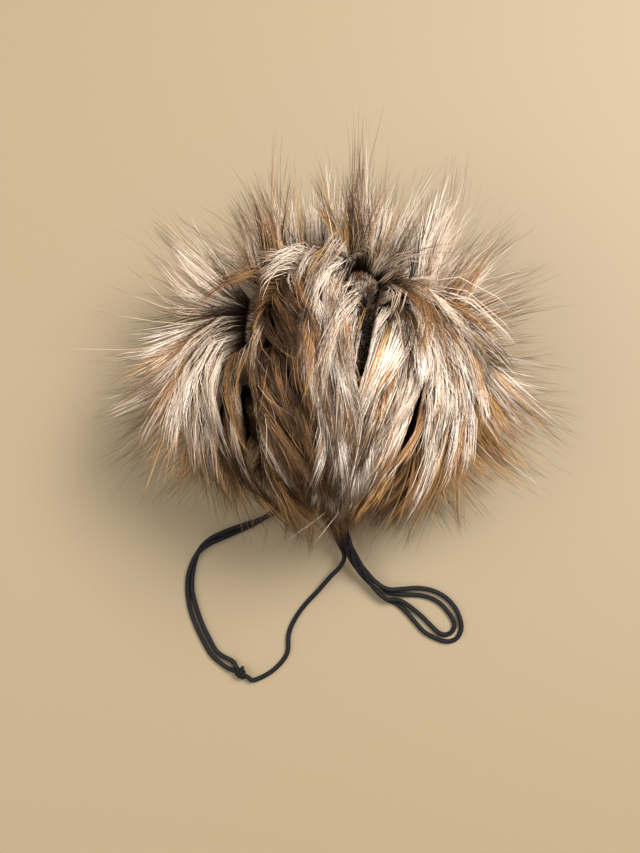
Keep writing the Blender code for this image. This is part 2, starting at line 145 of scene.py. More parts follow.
# Cords, in millimetres.
GAP = 0.3
PAIR_HALF_PITCH = 0.85
STRAND_HALF_PITCH = 0.66
WOUND_POINTS = 9
BUNDLE_TURNS = 1.0
RETURN_CLOSER = 0.4
LOOPS_ACROSS = 1.6
NECK_LEAD = (GAP, 2.0, 4.0)
KNOT_LEAD = (1.6, 0.0, -1.2)
KNOT_CENTRE = np.array((-25.9, -90.9, 1.9))
KNOT_SIZE = np.array((2.3, 1.8, 1.85))
KNOT_DIP = 0.2
KNOT_WRAPS = 2.75
KNOT_HALF_LENGTH = 1.25
KNOT_WRAP_RADIUS = 0.85
KNOT_BEARING = -35.0
KNOT_DROP = 0.35
KNOT_POINTS = 70
KNOT_WAIST = 0.75  # how wide the first and last wrap are, as a share of the middle one
KNOT_TAIL = ((-0.3, 0.8, 0.5), (-0.5, 1.7, 0.9), (-0.4, 2.6, 1.1))  # the blunt end, from the last wrap
KNOT_STRAND = 0.88  # how thick the drawn-tight strand is, as a share of the loose one


def smooth(value, low, high):
    """0 below low, 1 above high and an even curve between."""
    share = np.clip((value - low) / (high - low), 0.0, 1.0)
    return share * share * (3.0 - 2.0 * share)


def mix(first, second, share):
    return first + (second - first) * share


def unit(vectors):
    return vectors / np.linalg.norm(vectors, axis=-1, keepdims=True)


# The pile's field.


def along_surface(out, direction):
    """The part of a direction that lies along the ball, at each outward unit vector."""
    return direction - out * (out * direction).sum(axis=-1, keepdims=True)


def crown_side(out):
    """Above 0 in front of the crown and below 0 behind it."""
    return out @ CROWN_NORMAL + CROWN_WANDER * np.sin(CROWN_WAVES * out[:, 0] + CROWN_SHIFT)


def combed_share(out):
    """1 where the pile is swept over the ball, 0 where it stands out as a fringe."""
    height = out[:, 2] + COMBED_FRONT * np.clip(-out[:, 1], 0, 1) ** 2
    return smooth(crown_side(out), *COMBED_BEHIND) * smooth(height, *COMBED_HEIGHT)


def pile_direction(points):
    """Direction in which the pile grows at each point round the ball."""
    out = points - BALL_CENTRE
    distance = np.linalg.norm(out, axis=1)
    out = out / distance[:, None]
    side = np.tanh(crown_side(out) / CROWN_WIDTH)[:, None]
    forward = along_surface(out, FRONT_NAP) * np.clip(side, 0, 1)
    backward = along_surface(out, BACK_NAP) * np.clip(-side, 0, 1)
    nap = forward + backward
    drawn = GATHER * np.tanh(out[:, 0] / GATHER_SPAN)
    drawn = drawn + PARTING * np.exp(-(((out[:, 0] - PARTING_AT) / PARTING_WIDTH) ** 2))
    drawn = drawn * smooth(crown_side(out), *GATHER_ZONE)
    nap = nap - along_surface(out, np.array((1.0, 0.0, 0.0))) * drawn[:, None]
    waver = NAP_WAVER * np.sin(out @ WAVER_RATES.T).sum(axis=1)
    nap = nap + np.cross(out, nap) * waver[:, None]
    combed = combed_share(out)
    depth = np.clip((distance - BALL_RADIUS) / PILE_DEPTH, 0, 1)
    lift = mix(1.0, mix(ROOT_LIFT, LEAST_LIFT, depth), combed)
    sweep = mix(FRINGE_SWEEP, mix(ROOT_SWEEP, TIP_SWEEP, depth), combed)
    grown = out * lift[:, None] + nap * sweep[:, None]
    grown[:, 2] -= FRINGE_DROOP * (1 - combed) * depth
    falling = grown[:, 2] < 0
    grown[falling, 2] *= np.clip(points[falling, 2] / FLOOR_FADE, 0, 1)
    return unit(grown)


def pile_length(out):
    """Length of the pile that grows at each outward unit vector."""
    length = mix(FRINGE_LENGTH, DOME_LENGTH, combed_share(out))
    length = length * (1 - CROWN_SHORTER * np.exp(-((crown_side(out) / CROWN_WIDTH) ** 2)))
    length = mix(length, NECK_LENGTH, smooth(out @ NECK_TOWARDS, *NECK_ZONE))
    return mix(FOOT_LENGTH, length, smooth(out[:, 2], *FOOT_ZONE))


def behind_share(out):
    """1 for the fringe behind the crown, 0 elsewhere."""
    return smooth(-crown_side(out), *BEHIND) * smooth(out[:, 2], *BEHIND_HEIGHT) * (1 - combed_share(out))


def uneven_locks(out, uneven):
    """How much of its length each lock keeps. Behind the crown some are whole and the rest are shorter."""
    whole = uneven.random(len(out)) < WHOLE_LOCKS
    kept = np.where(whole, uneven.uniform(*WHOLE_LENGTH, len(out)), SHORT_LOCK)
    return mix(1.0, kept, behind_share(out))


def tuft_share(out):
    """How much of its length the pile keeps: little behind the crown, but for the tufts."""
    bearing, rise = np.radians(TUFTS).T
    across = np.cos(rise)
    tufts = np.stack((across * np.cos(bearing), across * np.sin(bearing), np.sin(rise)), axis=1)
    tufted = smooth((out @ tufts.T).max(axis=1), *np.cos(TUFT_ANGLES))
    return 1 - (1 - SHORT_BEHIND) * behind_share(out) * (1 - tufted)


def ball_points(out):
    """Points of the stuffed ball: round, but flat at its neck and at its foot."""
    points = BALL_CENTRE + BALL_RADIUS * out
    facing_neck = out @ NECK_AXIS
    gathered = facing_neck > math.cos(NECK_ANGLE)
    points[gathered] += NECK_AXIS * (NECK_REACH - BALL_RADIUS * facing_neck[gathered])[:, None]
    points[-out[:, 2] > math.cos(FOOT_ANGLE), 2] = 0.0
    return points


def grow(roots):
    """Each root's path through the field: an array of steps by roots by 3."""
    path = [roots]
    for _ in range(GROWTH_STEPS):
        half_way = path[-1] + pile_direction(path[-1]) * GROWTH_STEP / 2
        path.append(path[-1] + pile_direction(half_way) * GROWTH_STEP)
    return np.array(path)


def root_directions(count, uneven, stray):
    """Outward unit vectors spread over the ball, closer together towards its crown."""
    number = np.arange(count) + 0.5
    height = 1 - 2 * number / count
    turn = number * math.pi * (3 - math.sqrt(5))
    flat = np.sqrt(1 - height**2)
    out = np.stack((flat * np.cos(turn), flat * np.sin(turn), height), axis=1)
    out = unit(out + uneven.normal(0, stray, (count, 3)))
    return unit(out + DENSER * DENSE_TOWARDS)


def nearest(places, targets):
    """For each place, the number of the nearest target."""
    tree = KDTree(len(targets))
    for number, target in enumerate(targets):
        tree.insert(target, number)
    tree.balance()
    return np.array([tree.find(place)[1] for place in places])


# Clumps. Hairs gather into fine clumps, and those into large locks.
LOCKS = 300
CLUMPS = 2600
LOCK_SEED = 5
LOCK_STRAY = 0.05  # how unevenly the locks and the clumps are spread over the ball
CLUMP_STRAY = 0.02
LOCK_PULL = (0.45, 0.92)
FRINGE_PULL = 0.45  # share of that pull in the fringe
CLUMP_PULL = (0.5, 0.95)
LOCK_PULL_FROM = 0.05  # how far along a hair its lock and its clump start to pull it
CLUMP_PULL_FROM = 0.1
LEAST_ALIKE = 18 * MM  # how far apart a hair and its lock may end
ALIKE_STEP = GROWTH_STEPS * 2 // 3  # and the step of their paths at which that is measured
LOCK_LENGTH = (0.72, 1.05)
CLUMP_LENGTH = (0.70, 1.05)
LAST_SHARE = 1.2  # share of a hair's length at which its pulls and pushes stop growing
LOCK_PUSH = 3.6 * MM
CLUMP_PUSH = 1.1 * MM
HAIR_PUSH = 0.7 * MM
FRINGE_PUSH = 1.4 * MM
STRAY_PUSH = 5.5 * MM
TURNED_OUT = 1.4  # how many times an inward push is taken off, so that it ends up a little outward
LOCK_PUSH_LATE = 1.8  # how late along a hair the push of its lock, its clump and its own comes
CLUMP_PUSH_LATE = 1.6
HAIR_PUSH_LATE = 1.5

# Tones. Each has a share of the clumps everywhere, and more or less of them at the low front, on the dome, on
# the crown and in the parting. The rest are pale. The dark hair at the low front and in the parting is partly
# painted shade.
PALE, BROWN, GOLD, DARK = 0, 1, 2, 3
TONE_SHARES = {
    GOLD: (0.08, 0.36, -0.02, 0.0, 0.0),
    BROWN: (0.05, 0.40, 0.09, 0.12, 0.40),
    DARK: (0.0, 0.14, 0.05, 0.16, 0.46),
}
TONE_SHARED = 0.5  # share of the clumps that take their lock's tone
CROWN_BAND = 0.20
LOW_HEIGHTS = (-0.80, -0.35)  # how far down and how far forward the low front begins and is whole
LOW_FORWARD = (-0.25, 0.25)
DARK_PARTING = -0.46
DARK_PARTING_WIDTH = 0.18
DARK_PARTING_FROM = (-0.05, 0.1)

# Brightness, from 0 to 1. Besides the hair's own lighter and darker locks, it holds painted light and painted
# shade.
BRIGHT_DOME = 0.38
BRIGHT_MIDDLE = 0.68  # how much brighter the dome is in its middle, where that is and how wide
MIDDLE_AT = -0.08
MIDDLE_WIDTH = 0.20
MIDDLE_BACK = (-0.25, 0.15)
# painted light: the dome is made brighter towards its right, the side the light comes from
PAINTED_LIGHT_RIGHT = 0.38
RIGHT_ZONE = (0.30, 0.55)
# partly painted shade along the crown's ridge, partly its darker hair
DULL_CROWN = 0.34
# partly painted shade in the parting, partly its brown hair
DULL_PARTING = 0.40
BRIGHT_FRINGE = 0.80
DULL_BEHIND = 0.28
DULL_BEHIND_ZONE = (0.2, 0.6)
DULL_LEFT = 0.15
DULL_LEFT_ZONE = (0.3, 0.7)
# painted shade under the dome dims the low front over its own golden and brown hair, with painted light
# towards its right
BRIGHT_LOW = 0.07
PAINTED_LIGHT_LOW_RIGHT = 0.40
PAINTED_LIGHT_LOW_ZONE = (0.30, 0.70)
LOCK_BRIGHT = 0.18  # how unevenly bright the locks, the clumps in a lock and the hairs in a clump are
CLUMP_BRIGHT = 0.10
HAIR_BRIGHT = 0.03
BRIGHTEST = 0.99  # below 1, where the next tone's columns begin


def outward_push(out, uneven, size):
    """A random push for each root, along the ball or out from it."""
    push = uneven.normal(0, 1, out.shape)
    inward = np.minimum((push * out).sum(axis=1), 0)
    return (push - out * inward[:, None] * TURNED_OUT) * size


def along_lock(lengths):
    """How far along its hair each step of a path is: 0 at the root, 1 at the tip and more past it."""
    travelled = np.arange(GROWTH_STEPS + 1)[:, None] * GROWTH_STEP
    return np.clip(travelled / lengths[None], 0, LAST_SHARE)[..., None]


def low_front(out):
    """1 where the pile hangs low at the front, below the dome."""
    return smooth(-out[:, 2], *LOW_HEIGHTS) * smooth(-out[:, 1], *LOW_FORWARD)


def on_crown(out):
    """1 along the crown, falling off to each side of it."""
    return np.exp(-((crown_side(out) / CROWN_BAND) ** 2))


def in_parting(out):
    """1 along the parting on the left of the dome, whose darkness is partly its brown hair and partly painted
    shade.
    """
    beside = np.exp(-(((out[:, 0] - DARK_PARTING) / DARK_PARTING_WIDTH) ** 2))
    return combed_share(out) * beside * smooth(crown_side(out), *DARK_PARTING_FROM)


def pile_tones(out, uneven):
    """Tones of the pile. Most is pale. Brown streaks run down the dome, most of them on its left, the low
    front is golden and brown, and the crown has dark hair among the pale. The dark hair at the low front and
    in the parting is partly painted shade."""
    low = low_front(out)
    on_dome = combed_share(out) * (1 - low)
    zones = np.stack((np.ones(len(out)), low, on_dome, on_dome * on_crown(out), in_parting(out) * (1 - low)))
    chance = uneven.random(len(out))
    tones = np.full(len(out), PALE)
    reached = np.zeros(len(out))
    for tone, shares in TONE_SHARES.items():
        part = np.array(shares) @ zones
        tones[(chance >= reached) & (chance < reached + part)] = tone
        reached = reached + part
    return tones


def pile_brightness(out):
    """How bright the hair is, from 0 to 1: most in the middle of the dome and at its right, least at the low
    front. The brighter right is painted light; the dim low front, the dimmer crown and the dim parting are
    partly painted shade."""
    middle = np.exp(-(((out[:, 0] - MIDDLE_AT) / MIDDLE_WIDTH) ** 2)) * smooth(out[:, 1], *MIDDLE_BACK)
    dome = BRIGHT_DOME + BRIGHT_MIDDLE * middle + PAINTED_LIGHT_RIGHT * smooth(out[:, 0], *RIGHT_ZONE)
    dome = dome - DULL_CROWN * on_crown(out) - DULL_PARTING * in_parting(out)
    fringe = BRIGHT_FRINGE - DULL_BEHIND * smooth(out[:, 1], *DULL_BEHIND_ZONE)
    fringe = fringe - DULL_LEFT * smooth(-out[:, 0], *DULL_LEFT_ZONE)
    low = BRIGHT_LOW + PAINTED_LIGHT_LOW_RIGHT * smooth(out[:, 0], *PAINTED_LIGHT_LOW_ZONE)
    return mix(mix(fringe, dome, combed_share(out)), low, low_front(out))


def likeness(paths, leaders):
    """1 for a path that runs beside its leader, down to 0 for one that grows another way."""
    apart = np.linalg.norm(paths[ALIKE_STEP] - leaders[ALIKE_STEP], axis=-1)
    return np.exp(-((apart / LEAST_ALIKE) ** 2))


class Locks:
    """The large locks and the fine clumps that every hair follows."""

    def __init__(self):
        uneven = np.random.default_rng(LOCK_SEED)
        self.lock_out = root_directions(LOCKS, uneven, LOCK_STRAY)
        self.lock_paths = grow(ball_points(self.lock_out))
        standing = 1 - combed_share(self.lock_out)
        self.lock_pull = uneven.uniform(*LOCK_PULL, LOCKS) * mix(1.0, FRINGE_PULL, standing)
        self.lock_push = outward_push(self.lock_out, uneven, LOCK_PUSH)
        self.lock_length = uneven.uniform(*LOCK_LENGTH, LOCKS) * uneven_locks(self.lock_out, uneven)
        out = root_directions(CLUMPS, uneven, CLUMP_STRAY)
        self.clump_out = out
        self.clump_lock = nearest(out, self.lock_out)
        shared = pile_tones(self.lock_out, uneven)[self.clump_lock]
        self.clump_tone = np.where(uneven.random(CLUMPS) < TONE_SHARED, shared, pile_tones(out, uneven))
        lock_bright = uneven.normal(0, LOCK_BRIGHT, LOCKS)[self.clump_lock]
        self.clump_bright = pile_brightness(out) + lock_bright + uneven.normal(0, CLUMP_BRIGHT, CLUMPS)
        self.clump_pull = uneven.uniform(*CLUMP_PULL, CLUMPS)
        self.clump_hem = uneven.normal(0, HEM_SPREAD, CLUMPS)
        self.clump_push = outward_push(out, uneven, CLUMP_PUSH)
        length = uneven.uniform(*CLUMP_LENGTH, CLUMPS) * self.lock_length[self.clump_lock]
        self.clump_length = length * tuft_share(out)
        share = along_lock(pile_length(out) * self.clump_length)
        own = self.follow_lock(grow(ball_points(out)), self.clump_lock, share)
        self.clump_paths = own + self.clump_push[None] * share**CLUMP_PUSH_LATE

    def follow_lock(self, paths, lock, share):
        """Paths drawn to the locks they belong to, and pushed with them."""
        leaders = self.lock_paths[:, lock]
        pull = self.lock_pull[lock] * likeness(paths, leaders)
        followed = mix(paths, leaders, pull[None, :, None] * smooth(share, LOCK_PULL_FROM, 1.0))
        return followed + self.lock_push[lock][None] * share**LOCK_PUSH_LATE

    def follow_clump(self, paths, clump, share, loose):
        """Paths drawn to the clumps they belong to, but for the loose ones."""
        leaders = self.clump_paths[:, clump]
        pull = self.clump_pull[clump] * ~loose * likeness(paths, leaders)
        return mix(paths, leaders, pull[None, :, None] * smooth(share, CLUMP_PULL_FROM, 1.0))


def cut_where(covering, lengths):
    """Lengths of the hairs, cut at the first step of their paths that is marked."""
    first = np.where(covering.any(axis=0), covering.argmax(axis=0), len(covering))
    return np.minimum(lengths, np.maximum(first * GROWTH_STEP, SHORTEST))


def open_length(paths, lengths):
    """Lengths of the hairs, cut short where a hair would cover an opening in the pile."""
    covering = np.zeros(paths.shape[:2], bool)
    for start, end, half_width, floor in OPENINGS:
        start, run = np.array(start) * MM, np.subtract(end, start) * MM
        place = paths[..., :2] - start
        share = np.clip(place @ run / (run @ run), 0, 1)
        apart = np.linalg.norm(place - share[..., None] * run, axis=-1)
        covering |= (apart < half_width * MM) & (paths[..., 2] > floor * MM)
    clear_of_ball = np.linalg.norm(paths - BALL_CENTRE, axis=-1) > BALL_RADIUS + OPENING_STUBBLE
    return cut_where(covering & clear_of_ball, lengths)


def hem_length(on_dome, paths, lengths, spread):
    """Lengths of the hairs, cut at the hem where they root on the dome in front."""
    place = paths[..., :2] - BALL_CENTRE[:2]
    bearing = np.degrees(np.arctan2(place[..., 1], place[..., 0]))
    reach = np.interp(bearing, [bearing for bearing, _ in HEM], [reach * MM for _, reach in HEM])
    beyond = (np.linalg.norm(place, axis=-1) > reach + spread) & (bearing < 0) & on_dome
    return cut_where(beyond, lengths)


def stretched(points):
    """Points of the pile stretched beyond the ball to its reach on each side, and kept above the floor."""
    points = points.copy()
    for axis, side, stretch in SIDE_STRETCH:
        beyond = (points[..., axis] - BALL_CENTRE[axis]) * side - BALL_RADIUS
        points[..., axis] += side * np.clip(beyond, 0, None) * (stretch - 1)
    height = points[..., 2]
    low = height < FLOOR_SOFTNESS
    height[low] = FLOOR_SOFTNESS * np.exp((height[low] - FLOOR_SOFTNESS) / FLOOR_SOFTNESS)
    return points


def sampled(paths, distances):
    """The point of each path at each of its distances: distances by paths by 3."""
    place = np.clip(distances / GROWTH_STEP, 0, LAST_PLACE)
    step = place.astype(int)
    column = np.arange(paths.shape[1])
    here = paths[step, column]
    return here + (paths[step + 1, column] - here) * (place - step)[..., None]


# Hairs. Each is a closed, three-sided, tapered prism. Its UV strip is its shade.
TONES = 4
TONE_COLUMNS = 24
COLUMNS = TONES * TONE_COLUMNS
COLUMN_MARGIN = 0.15  # what a hair leaves free at each side of its column, as a share of it
TAPER = ((0.0, 0.80), (0.25, 1.0), (0.55, 0.95), (0.75, 0.80), (0.90, 0.60), (1.0, 0.18))
BASE_ACROSS = (0.0, 0.6, 0.3)  # where the triangle that closes the root lies in the strip
BASE_UP = (0.0, 0.0, 0.01)
HAIR_TURN = 0.05  # how unevenly the hairs are turned about their length
HAIR_WIDTHS = (0.7, 1.3)


def hair_template(shares):
    """Triangles of one hair with rings at these shares of its length, and each corner's place in UV."""
    faces, across, along = [], [], []
    last = len(shares) - 1
    for ring in range(last + 1):
        for corner in range(3):
            here, turned = 3 * ring + corner, 3 * ring + (corner + 1) % 3
            left, right = corner / 3, (corner + 1) / 3
            if ring == last:
                faces.append((here, turned, 3 * last + 3))
                across.append((left, right, (left + right) / 2))
                along.append((shares[ring], shares[ring], 1.0))
            else:
                low, high = shares[ring], shares[ring + 1]
                faces += [(here, turned, turned + 3), (here, turned + 3, here + 3)]
                across += [(left, right, right), (left, right, left)]
                along += [(low, low, high), (low, high, high)]
    faces.append((0, 2, 1))
    across.append(BASE_ACROSS)
    along.append(BASE_UP)
    return np.array(faces), np.array(across), np.array(along)


def around(side, rise, turn):
    """Unit vectors at each turn about an axis, from two directions across it."""
    return side[..., None, :] * np.cos(turn)[:, None] + rise[..., None, :] * np.sin(turn)[:, None]


def smooth_mesh(name, vertices, faces, uv):
    """A smooth mesh with its strip of UV."""
    mesh = bpy.data.meshes.new(name)
    mesh.from_pydata(vertices.reshape(-1, 3).tolist(), [], faces)
    mesh.shade_smooth()
    mesh.uv_layers.new(name="OFBake").data.foreach_set("uv", uv.reshape(-1))
    return mesh


def hair_mesh(name, points, widths, shares, columns, uneven):
    """A mesh of hairs from their points, of rings and tip by hairs by 3."""
    rings, count = len(points) - 1, points.shape[1]
    chord = points[-1] - points[0]
    bend = np.cross(chord, points[rings // 2] - points[0])
    bend = bend / (chord**2).sum(axis=1, keepdims=True)
    aside = np.cross(unit(chord), unit(uneven.normal(0, 1, (count, 3)))) * HAIR_TURN
    reference = unit(bend + aside)
    along = unit(np.gradient(points, axis=0))[:rings]
    side = unit(reference[None] - along * (along * reference[None]).sum(axis=2, keepdims=True))
    rise = np.cross(along, side)
    turn = np.arange(3) * 2 * math.pi / 3
    taper = np.interp(shares, [share for share, _ in TAPER], [width for _, width in TAPER])
    radii = widths[None] * taper[:, None] / 2
    corners = points[:rings, :, None] + around(side, rise, turn) * radii[:, :, None, None]
    corners = corners.transpose(1, 0, 2, 3).reshape(count, -1, 3)
    vertices = np.concatenate([corners, points[-1][:, None]], axis=1)
    faces, across, up = hair_template(shares)
    stride = 3 * rings + 1
    every = faces[None] + np.arange(count)[:, None, None] * stride
    strip = (columns[:, None, None] + mix(COLUMN_MARGIN, 1 - COLUMN_MARGIN, across[None])) / COLUMNS
    uv = np.stack((strip, np.broadcast_to(up[None], strip.shape)), axis=-1)
    return smooth_mesh(name, vertices, every.reshape(-1, 3).tolist(), uv)


def shade_columns(tones, bright, other_tones, uneven):
    """A shade column for each hair: its tone's, from dull to bright. Some hairs take another tone than their
    clump's."""
    other = uneven.integers(0, TONES, len(tones))
    tones = np.where(uneven.random(len(tones)) < other_tones, other, tones)
    bright = np.clip(bright + uneven.normal(0, HAIR_BRIGHT, len(tones)), 0, BRIGHTEST)
    return ((tones + bright) * TONE_COLUMNS).astype(int)


def add_piece(name, mesh, material):
    mesh.materials.append(material)
    made = bpy.data.objects.new(name, mesh)
    bpy.context.scene.collection.objects.link(made)
    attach(made, "root")
    return made


class HairKind(NamedTuple):
    """One kind of hair: where it roots, how it is made and how it lies in its clump."""

    root_seed: int
    root_stray: float  # how unevenly it is spread over the ball
    seed: int
    rings: tuple  # where along a hair its rings stand
    width: float  # as a share of the hair width
    length: tuple  # least and most, as shares of the pile's length
    other_tones: float  # share of the hairs that take any tone
    push: float
    loose: float  # share of the hairs that aren't drawn to their clump


COMBED = HairKind(21, 0.008, 31, (0.0, 0.28, 0.56, 0.82), 0.88, (0.75, 1.05), 0.05, HAIR_PUSH, 0.08)
STANDING = HairKind(22, 0.008, 32, (0.0, 0.4, 0.78), 0.52, (0.40, 1.12), 0.12, FRINGE_PUSH, 0.35)
UNDER = HairKind(23, 0.01, 33, (0.0, 0.4, 0.75), 1.2, (0.35, 0.62), 0.5, HAIR_PUSH, 0.3)
STRAY = HairKind(24, 0.3, 34, (0.0, 0.2, 0.4, 0.6, 0.8), 0.7, (0.85, 1.12), 0.6, STRAY_PUSH, 1.0)
STRAY_FROM = -0.3  # height above which stray hairs root, as a share of the ball's radius
COMBED_FROM = 0.35  # from what combed share the hair is combed, and how far behind the crown
COMBED_SIDE = -0.08
STRIP_EDGE = 0.33  # how far out the middle strip of a kind of hair reaches, as a share of the ball's radius


def kind_roots(kind, count):
    """Outward unit vectors of all the hairs of one kind."""
    return root_directions(count, np.random.default_rng(kind.root_seed), kind.root_stray)


def is_combed(out):
    """Where the hair is combed over the ball. Elsewhere it stands out."""
    return (combed_share(out) > COMBED_FROM) & (crown_side(out) > COMBED_SIDE)


def is_standing(out):
    return ~is_combed(out)


def is_anywhere(out):
    return np.full(len(out), True)


def strips(kind, count, wanted):
    """Outward unit vectors of the hairs of one kind, at the left, in the middle and at the right."""
    out = kind_roots(kind, count)
    out = out[wanted(out) & (-out[:, 2] < math.cos(FOOT_ANGLE))]
    strip = np.digitize(out[:, 0], (-STRIP_EDGE, STRIP_EDGE))
    return [(name, out[strip == number]) for number, name in enumerate(("left", "middle", "right"))]


def pile_piece(name, out, kind, locks, material, hair_width):
    """A piece of the pile: a hair from each outward unit vector, gathered into its clump and its lock."""
    uneven = np.random.default_rng(kind.seed)
    clump = nearest(out, locks.clump_out)
    lengths = pile_length(out) * locks.clump_length[clump] * uneven.uniform(*kind.length, len(out))
    share = along_lock(lengths)
    own = locks.follow_lock(grow(ball_points(out)), locks.clump_lock[clump], share)
    paths = locks.follow_clump(own, clump, share, uneven.random(len(out)) < kind.loose)
    paths = paths + outward_push(out, uneven, kind.push)[None] * share**HAIR_PUSH_LATE
    on_dome = out[:, 2] + uneven.normal(0, HEM_ROOTS_SPREAD, len(out)) > HEM_ROOTS
    spread = locks.clump_hem[clump] + uneven.normal(0, HEM_SPREAD, len(out))
    lengths = open_length(paths, hem_length(on_dome, paths, lengths, spread))
    points = stretched(sampled(paths, np.array([*kind.rings, 1.0])[:, None] * lengths[None]))
    columns = shade_columns(locks.clump_tone[clump], locks.clump_bright[clump], kind.other_tones, uneven)
    widths = hair_width * kind.width * uneven.uniform(*HAIR_WIDTHS, len(out))
    piece = add_piece(name, hair_mesh(name, points, widths, np.array(kind.rings), columns, uneven), material)
    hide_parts("fur_ball")


# Materials.


class Nodes:
    """Adds nodes to a tree, and gives their sockets values or links."""

    def __init__(self, tree):
        self.tree = tree

    def add(self, kind, inputs=None, **settings):
        node = self.tree.nodes.new(kind)
        for name, value in settings.items():
            setattr(node, name, value)
        return self.give(node, inputs or {})

    def give(self, node, inputs):
        for socket, value in inputs.items():
            if isinstance(value, bpy.types.NodeSocket):
                self.tree.links.new(value, node.inputs[socket])
            else:
                node.inputs[socket].default_value = value
        return node

    def math(self, operation, *values):
        return self.add("ShaderNodeMath", dict(enumerate(values)), operation=operation).outputs[0]

    def ramp(self, value, low, high):
        inputs = {0: value, 1: low, 2: high, 3: 0.0, 4: 1.0}
        return self.add("ShaderNodeMapRange", inputs, interpolation_type="SMOOTHSTEP").outputs[0]

    def blend(self, share, first, second):
        return self.add("ShaderNodeMix", {0: share, 6: first, 7: second}, data_type="RGBA").outputs[2]


TIP_FADE = 0.28  # share of a hair's length over which it darkens to its tip
TIP_LATER = 0.22  # how much later that starts on the brightest hair
ROOT_FADE = 0.25  # share of the dark root after which it starts to fade
UNEVEN_FADE = 0.16  # how unevenly far along the hairs those places lie
NOISE_STEP = 0.37  # how far apart the columns read the noise that makes them so
HAIR_ROUGHNESS = 0.46
HAIR_SHINE = 0.10
BRIGHT_SHINE = 0.25  # how much more the brightest hair shines
GROUND_FIBRES = (0.3, 0.75)  # where in their noise the ground's fibres begin and are whole
GROUND_DARKER = 0.5
GROUND_ROUGHNESS = 0.95
THREAD_GRAIN = (18.0, 60.0, 1.0)  # how often the grain repeats round a strand and along it
THREAD_FIBRES = (0.35, 0.8)
# lighter streaks along the grain: partly the thread's fibres, partly painted sheen
FIBRE_AND_SHEEN_LIGHTER = 2.6
THREAD_ROUGHNESS = 0.4
THREAD_ROUGHER = 0.35
THREAD_SHINE = 0.12


def opaque(colour):
    return (*colour, 1.0)


def new_material(name):
    """A material, its nodes and its shader."""
    made = bpy.data.materials.new(name)
    made.use_nodes = True
    return made, Nodes(made.node_tree), made.node_tree.nodes["Principled BSDF"]


def hair_shade_group():
    """Colour along a hair: dark at the root, its own tone in the middle and dark at the tip."""
    group = bpy.data.node_groups.get("hair_shade")
    if group:
        return group
    group = bpy.data.node_groups.new("hair_shade", "ShaderNodeTree")
    for name in ("Along", "Shift", "Lightness", "Root End", "Tip Start"):
        group.interface.new_socket(name, in_out="INPUT", socket_type="NodeSocketFloat")
    for name in ("Root", "Middle", "Tip"):
        group.interface.new_socket(name, in_out="INPUT", socket_type="NodeSocketColor")
    group.interface.new_socket("Color", in_out="OUTPUT", socket_type="NodeSocketColor")
    nodes = Nodes(group)
    given = nodes.add("NodeGroupInput").outputs
    shifted = nodes.math("ADD", given["Along"], given["Shift"])
    low = nodes.math("MULTIPLY", given["Root End"], ROOT_FADE)
    out_of_root = nodes.ramp(shifted, low, given["Root End"])
    into_tip = nodes.ramp(shifted, given["Tip Start"], nodes.math("ADD", given["Tip Start"], TIP_FADE))
    lighter = {0: given["Middle"], "Scale": given["Lightness"]}
    lit = nodes.add("ShaderNodeVectorMath", lighter, operation="SCALE")
    middle = nodes.blend(out_of_root, given["Root"], lit.outputs[0])
    whole = nodes.blend(into_tip, middle, given["Tip"])
    nodes.add("NodeGroupOutput", {"Color": whole})
    return group


def hair_material(name, pile, lightness, root_end, tip_start):
    """Hair whose shade goes by its UV strip across, as its lightness goes from least to most, and by its
    length up."""
    made, nodes, shader = new_material(name)
    uv = nodes.add("ShaderNodeUVMap", uv_map="OFBake").outputs[0]
    place = nodes.add("ShaderNodeSeparateXYZ", {0: uv})
    column = nodes.math("FLOOR", nodes.math("MULTIPLY", place.outputs[0], float(COLUMNS)))
    noise_place = nodes.math("MULTIPLY", column, NOISE_STEP)
    chance = nodes.add("ShaderNodeTexWhiteNoise", {"W": noise_place}, noise_dimensions="1D")
    split = nodes.add("ShaderNodeSeparateColor", {0: chance.outputs["Color"]})
    shift = nodes.math("MULTIPLY", nodes.math("SUBTRACT", split.outputs[0], 0.5), UNEVEN_FADE)
    bright = nodes.math("DIVIDE", nodes.math("MODULO", column, float(TONE_COLUMNS)), float(TONE_COLUMNS))
    light = nodes.math("ADD", nodes.math("MULTIPLY", bright, lightness[1] - lightness[0]), lightness[0])
    # The brighter the pale hair, the more it takes the silver colour: partly its own silvery tone, partly a
    # painted highlight where the brightness holds painted light.
    pale = nodes.blend(bright, opaque(pile.pale_colour), opaque(pile.silver_and_highlight_colour))
    tip_start = nodes.math("MULTIPLY_ADD", bright, TIP_LATER, tip_start)
    shades = []
    for middle in (pale, opaque(pile.brown_colour), opaque(pile.gold_colour), opaque(pile.dark_colour)):
        given = {
            "Along": place.outputs[1],
            "Shift": shift,
            "Lightness": light,
            "Root End": root_end,
            "Tip Start": tip_start,
            "Root": opaque(pile.root_colour),
            "Middle": middle,
            "Tip": opaque(pile.tip_colour),
        }
        shades.append(nodes.add("ShaderNodeGroup", given, node_tree=hair_shade_group()).outputs[0])
    whole = shades[PALE]
    for tone in (BROWN, GOLD, DARK):
        reached = nodes.math("GREATER_THAN", column, tone * TONE_COLUMNS - 0.5)
        whole = nodes.blend(reached, whole, shades[tone])
    shine = nodes.math("MULTIPLY_ADD", bright, BRIGHT_SHINE, HAIR_SHINE)
    nodes.give(shader, {"Base Color": whole, "Specular IOR Level": shine, "Roughness": HAIR_ROUGHNESS})
    return made


